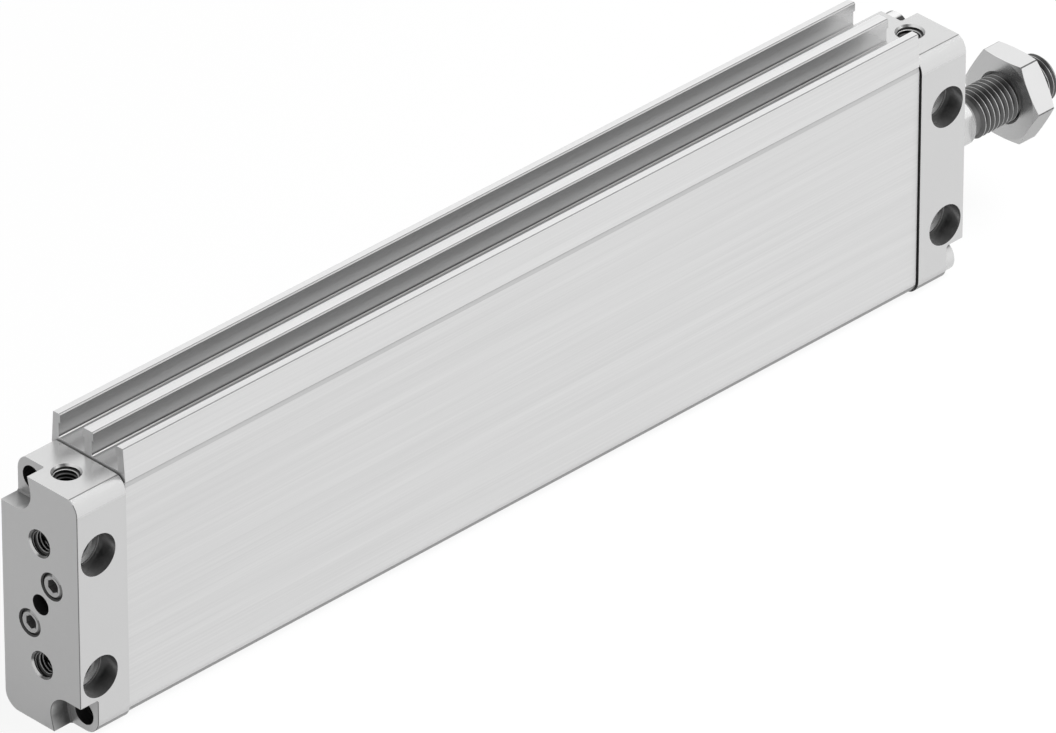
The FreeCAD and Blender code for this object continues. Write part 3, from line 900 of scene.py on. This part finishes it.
def flatted(radius, flats):
    """Circle with two flats that face sideways."""
    def outline(angle):
        y, z = circle(radius)(angle)
        return (max(-flats / 2, min(flats / 2, y)), z)
    return outline


def hexagon(across_flats):
    """Hexagon with two of its flats facing sideways."""
    def outline(angle):
        off_flat = (angle + math.pi / 6) % (math.pi / 3) - math.pi / 6
        return circle(across_flats / 2 / math.cos(off_flat))(angle)
    return outline


def turned_mesh(name, stations):
    """Closed solid along X through a row of outlines, each at its own place."""
    shape = bmesh.new()
    angles = [2 * math.pi * step / round_sides for step in range(round_sides)]
    skin(shape, [[shape.verts.new((x, *outline(angle))) for angle in angles] for x, outline in stations])
    close_up(shape)
    return write_to(bpy.data.meshes.new(name), shape)


def joined_rod(core, ridge, thread_start):
    """One mesh from the rod's turned core and the ridge on it, with a finish for each kind of face: its flats
    painted darker as shade, its collar painted lighter as a highlight.
    """
    rod_finishes = [finishes["rod_steel"], rod_thread, wrench_flat, rod_collar]
    thread_number, flat_number, collar_number = range(1, len(rod_finishes))
    shape = bmesh.new()
    # The crest attribute marks the raised thread for its painted highlight
    crest = shape.verts.layers.float.new("crest")
    shape.from_mesh(core)
    for vert in shape.verts:
        raised = math.hypot(vert.co.y, vert.co.z) > rod_core_radius + rod_ridge_height / 2
        vert[crest] = float(raised and vert.co.x > thread_start)
    for face in shape.faces:
        centre = face.calc_center_median()
        if centre.x > thread_start and abs(face.normal.x) < square_limit:
            face.material_index = thread_number
        elif abs(face.normal.y) > flat_limit and abs(centre.y) < rod_flats / 2 + wall_margin:
            face.material_index = flat_number
        elif face.normal.x < -square_limit and centre.x > thread_start - rod_flats_back - wall_margin:
            face.material_index = collar_number
    core_faces = len(shape.faces)
    shape.from_mesh(ridge)
    shape.faces.ensure_lookup_table()
    for face in shape.faces[core_faces:]:
        face.material_index = thread_number
    return smooth(write_to(bpy.data.meshes.new("threaded_rod"), shape, *rod_finishes))


def threaded_rod():
    """Rod with its stem, wrench flats, relief and a real thread on its core."""
    low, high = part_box("piston_rod")
    radius = (high.z - low.z) / 2
    thread_start = high.x - mounts["rod_thread"]["dims"]["length_mm"] * MM
    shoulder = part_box("piston_front_half")[1].x - rod_shoulder_depth
    flats_end = thread_start - rod_flats_back
    flats_start = flats_end - rod_flats_length
    last_crest = high.x - rod_end_chamfer
    bar = circle(radius)
    flat_bar = flatted(radius, rod_flats)
    core = circle(rod_core_radius)
    stations = [
        (low.x, circle(rod_stem_radius)),
        (shoulder, circle(rod_stem_radius)),
        (shoulder, bar),
        (flats_start, bar),
        (flats_start, flat_bar),
        (flats_end, flat_bar),
        (flats_end, bar),
        (thread_start - rod_shoulder_chamfer, bar),
        (thread_start, core),
        (last_crest - rod_pitch / 2, core),
        (last_crest, circle(rod_crest_radius)),
        (high.x, circle(radius - rod_end_chamfer)),
    ]
    turns = (last_crest - thread_start - rod_relief_length) / rod_pitch
    place = (Vector((thread_start + rod_relief_length, 0, 0)), Vector((1, 0, 0)))
    ridge = thread_mesh("rod_ridge", [place], rod_core_radius, rod_pitch, turns, rod_ridge_height,
                        rod_ridge_crest, rod_thread)
    return joined_rod(turned_mesh("rod_core", stations), ridge, thread_start)


def set_screw():
    """One set screw about the X axis, with its hexagon socket and the blunt start of its thread."""
    low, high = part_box("set_screws")
    chamfer = screw_radius - screw_rim_radius
    mesh = turned_mesh("set_screw", [
        (low.x + screw_key_depth, hexagon(screw_key)),
        (low.x + screw_key_chamfer, hexagon(screw_key)),
        (low.x, circle(screw_key_mouth_radius)),
        (low.x, circle(screw_rim_radius)),
        (low.x + chamfer, circle(screw_radius)),
        (high.x - chamfer, circle(screw_radius)),
        (high.x, circle(screw_rim_radius)),
    ])
    shape = bmesh.new()
    shape.from_mesh(mesh)
    rings = []
    for step in range(screw_thread_steps + 1):
        turn = 2 * math.pi * screw_thread_turns * step / screw_thread_steps
        angle = screw_thread_start + turn
        depth = low.x + hole_pitch * turn / (2 * math.pi)
        outer = max(screw_radius, screw_mouth_radius - depth - screw_thread_gap)
        inner = screw_rim_radius - screw_thread_gap
        section = ((inner, depth), (outer, depth), (screw_radius, depth + chamfer))
        rings.append([shape.verts.new((x, radius * math.cos(angle), radius * math.sin(angle)))
                      for radius, x in section])
    skin(shape, rings)
    bmesh.ops.recalc_face_normals(shape, faces=shape.faces)
    write_to(mesh, shape)
    # Painted light and shade for each face, kept in the crest attribute: a bright front face, darker chamfer,
    # socket and sides
    crest = mesh.attributes.new("crest", "FLOAT", "FACE")
    for face, item in zip(mesh.polygons, crest.data):
        centre = face.center
        radius = math.hypot(centre.y, centre.z)
        if face.normal.x < screw_face_limit and centre.x < low.x + 2 * chamfer:
            foremost = radius < screw_rim_radius or centre.x < low.x + chamfer / 3
            item.value = screw_face_bright if foremost else screw_chamfer_bright
        else:
            item.value = screw_key_bright if radius < screw_key_mouth_radius else screw_side_bright
    return mesh


def screw_places():
    """The axes of the two set screws, read off the box that holds both."""
    low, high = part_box("set_screws")
    y = (high.y - low.y) / 2 - screw_radius
    z = (high.z - low.z) / 2 - screw_radius
    return [Vector((0, -y, z)), Vector((0, y, -z))]


def set_screws():
    """Both set screws, as copies of one."""
    pattern = placed("set_screw_pattern", set_screw())
    places = places_mesh([(place, Vector((1, 0, 0))) for place in screw_places()])
    mesh = run_tree("socket_set_screws", copies, places, {"Piece": pattern, "Finish": screw_face})
    bpy.data.objects.remove(pattern)
    return smooth(mesh)


def lock_nut():
    """Thin hexagon nut: corners turned off by a cone at both faces, and a chamfered bore."""
    low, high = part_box("lock_nut")
    sides = 6 * nut_flat_steps
    half_flat = math.pi / 6 - nut_corner_angle
    slope = math.tan(nut_chamfer_angle)
    flat = hexagon(nut_flats)
    mouth_radius = nut_bore_radius + nut_mouth_chamfer
    flats_ring = 1
    turned_rings = (0, 2, 3, 7)
    rows = []
    shape = bmesh.new()
    for step in range(sides):
        side, place = divmod(step, nut_flat_steps)
        angle = side * math.pi / 3 + half_flat * (2 * place / (nut_flat_steps - 1) - 1)
        reach = math.hypot(*flat(angle))
        direction = Vector((0, math.sin(angle), math.cos(angle)))
        rim = min(reach, nut_chamfer_radius)
        drop = (reach - rim) * slope
        profile = [
            (low.x, rim), (low.x + drop, reach), (high.x - drop, reach), (high.x, rim),
            (high.x, mouth_radius), (high.x - nut_mouth_chamfer, nut_bore_radius),
            (low.x + nut_mouth_chamfer, nut_bore_radius), (low.x, mouth_radius),
        ]
        rows.append([shape.verts.new(Vector((x, 0, 0)) + direction * radius) for x, radius in profile])
    rings = list(zip(*rows))
    nut_finishes = [finishes["nut_steel"], turned_face, nut_edge]
    for number, ring in enumerate(rings):
        after = rings[(number + 1) % len(rings)]
        for step in range(sides):
            beside = (step + 1) % sides
            face = shape.faces.new((ring[step], ring[beside], after[beside], after[step]))
            if number in turned_rings:
                face.material_index = nut_finishes.index(turned_face)
            # Each corner strip between two flats takes the painted dark shade line
            elif number == flats_ring and beside % nut_flat_steps == 0:
                face.material_index = nut_finishes.index(nut_edge)
    close_up(shape)
    mesh = write_to(bpy.data.meshes.new("turned_lock_nut"), shape, *nut_finishes)
    return smooth(mesh, nut_sharp_angle)


def hole_places(mount_names, into=0.0):
    """Mouths of the holes of some mounts, or places further in, each with the direction into the cap."""
    places = []
    for mount in (mounts[name] for name in mount_names):
        centre = Vector(mount["pos_m"])
        inward = -Vector(mount["axis"])
        half_x = mount["dims"].get("spacing_x_mm", 0) / 2 * MM
        half_z = mount["dims"].get("spacing_y_mm", 0) / 2 * MM
        places += [(centre + Vector((x, 0, z)) + inward * into, inward)
                   for x in sorted({-half_x, half_x}) for z in sorted({-half_z, half_z})]
    return places


def cap_zones(node, outward):
    """Tests for a cap's faces with painted shade, glints or another finish, and tests for the rims of its
    holes.
    """
    face, inner = cap_ends(node, outward)
    inward = Vector((-outward, 0, 0))
    skin_depth = 2 * wall_margin
    holes = []
    for name in side_mounts:
        for mouth, into in hole_places([name], -counterbore_depth):
            holes.append((mouth, into, counterbore_radius, counterbore_depth - skin_depth, bored_wall))
        for mouth, into in hole_places([name]):
            holes.append((mouth, into, hole_radius, bored_depth, deep_wall))
            holes.append((mouth, into, screw_mouth_radius, rim_depth, side_rim))
            holes.append((mouth - into * skin_depth, into, counterbore_radius, skin_depth, bored_floor))
    for names, start, mouth_radius, rim in (
            (end_mounts, 0.0, screw_mouth_radius, end_rim),
            (port_mounts, hole_radius - port_mouth_radius, port_mouth_radius, port_rim)):
        for mouth, into in hole_places(names, start):
            holes.append((mouth, into, hole_radius, bored_depth, deep_wall))
            holes.append((mouth, into, mouth_radius, rim_depth, rim))
    for side in (1, -1):
        flange = Vector((face - outward * tie_flange, side * tie_y, side * tie_z))
        holes.append((flange, inward, tie_mouth_radius, bored_depth, deep_wall))
    if outward < 0:
        holes.append((Vector(), inward, centre_hole_radius, bored_depth, deep_wall))
        for place in screw_places():
            holes.append((place, inward, screw_mouth_radius, bored_depth, deep_wall))
    zones = [(bore(mouth, into, radius, depth), finish) for mouth, into, radius, depth, finish in holes]
    rims = [bore(mouth - into * skin_depth, into, radius + wall_margin, depth)
            for mouth, into, radius, depth, _ in holes]
    zones.append((facing_along(inner - wall_margin, inner + wall_margin), deep_wall))
    if outward < 0:
        zones.append((in_notch(tie_flange, 1), notch_upper))
        zones.append((in_notch(tie_flange, -1), notch_lower))
    zones.append((facing_along(face - wall_margin, face + wall_margin), satin_end))
    zones.append((below, underside))
    zones.append((above, ground_top))
    return zones, rims


def seen_rays(tree):
    """1 for the rays that look at something: from the camera, off gloss or through clear matter."""
    rays = tree.nodes.new("ShaderNodeLightPath").outputs
    straight = reckon(tree, "ADD", rays["Is Camera Ray"], rays["Is Glossy Ray"])
    return reckon(tree, "ADD", straight, rays["Is Transmission Ray"])


def build_stage():
    """Pale floor that keeps a soft shadow and looks white to the camera and to the metal."""
    material = bpy.data.materials.new("studio_floor")
    material.use_nodes = True
    tree = material.node_tree
    tree.nodes.clear()
    diffuse_ray = tree.nodes.new("ShaderNodeLightPath").outputs["Is Diffuse Ray"]
    pale = mapped(tree, diffuse_ray, To_Min=floor_tone, To_Max=floor_tone_to_light)
    matt = add_node(tree, "ShaderNodeBsdfDiffuse", Color=pale)
    white = tree.nodes.new("ShaderNodeEmission")
    white_share = reckon(tree, "MULTIPLY", seen_rays(tree), floor_white_share)
    mix = add_node(tree, "ShaderNodeMixShader", Fac=white_share)
    tree.links.new(matt.outputs["BSDF"], mix.inputs[1])
    tree.links.new(white.outputs["Emission"], mix.inputs[2])
    add_node(tree, "ShaderNodeOutputMaterial", Surface=mix.outputs["Shader"])

    level = cad_box[0].z - floor_gap
    half = floor_half_size
    corners = [(-half, -half, level), (half, -half, level), (half, half, level), (-half, half, level)]
    mesh = bpy.data.meshes.new("floor")
    mesh.from_pydata(corners, [], [(0, 1, 2, 3)])
    mesh.materials.append(material)
    placed("floor", mesh)


def build_light():
    """White surroundings, and one large soft box above the near side."""
    world = bpy.data.worlds.new("studio")
    bpy.context.scene.world = world
    world.use_nodes = True
    tree = world.node_tree
    background = tree.nodes["Background"]
    background.inputs["Color"].default_value = (1, 1, 1, 1)
    level = mapped(tree, seen_rays(tree), To_Min=sky_level)
    tree.links.new(level, background.inputs["Strength"])

    lamp = bpy.data.lights.new("key_box", "AREA")
    lamp.size = key_size
    lamp.energy = key_power
    holder = placed("key_box", lamp)
    middle = (cad_box[0] + cad_box[1]) / 2
    holder.location = middle + key_direction * key_distance
    holder.rotation_euler = (-key_direction).to_track_quat("-Z", "Y").to_euler()
    holder.visible_glossy = False


def build_camera():
    """Camera at the photograph's angle."""
    lens = bpy.data.cameras.new("view")
    lens.lens = view_lens
    lens.sensor_width = view_sensor
    lens.clip_start = view_nearest
    lens.clip_end = view_farthest
    camera = placed("view", lens)
    back = Vector((math.sin(view_azimuth) * math.cos(view_elevation),
                   -math.cos(view_azimuth) * math.cos(view_elevation),
                   math.sin(view_elevation)))
    camera.location = view_aim + back * view_distance
    camera.rotation_euler = (-back).to_track_quat("-Z", "Y").to_euler()
    bpy.context.scene.camera = camera


for node, slot in slot_names.items():
    nodes[node].material_slots[0].material = finishes[slot]
nodes["tie_screws"].material_slots[0].material = tie_screw_painted_reflection

hand_over(threaded_rod(), "rod", "rod_steel", "piston_rod")
for name, mount_names, turns, finish, start in (
        ("end_hole_threads", end_mounts, end_hole_turns, hole_thread, hole_thread_start),
        ("port_threads", port_mounts, port_turns, port_thread, port_thread_start),
        ("side_hole_threads", through_mounts, side_hole_turns, hole_thread, hole_thread_start)):
    threads = thread_mesh(name, hole_places(mount_names, start), hole_radius, hole_pitch, turns,
                          -hole_ridge_height, hole_ridge_crest, finish)
    hand_over(threads, "cylinder", "cap_aluminium")
hand_over(set_screws(), "cylinder", "screw_steel", "set_screws")
hand_over(broken_barrel(), "cylinder", slot_names["barrel"], "barrel")
hand_over(broken_cap("rear_cap", -1), "cylinder", slot_names["rear_cap"], "rear_cap")
hand_over(broken_cap("front_cap", 1), "cylinder", slot_names["front_cap"], "front_cap")
hand_over(lock_nut(), "nut", "nut_steel", "lock_nut")

build_stage()
build_light()
build_camera()
bpy.context.scene.view_settings.view_transform = "Standard"
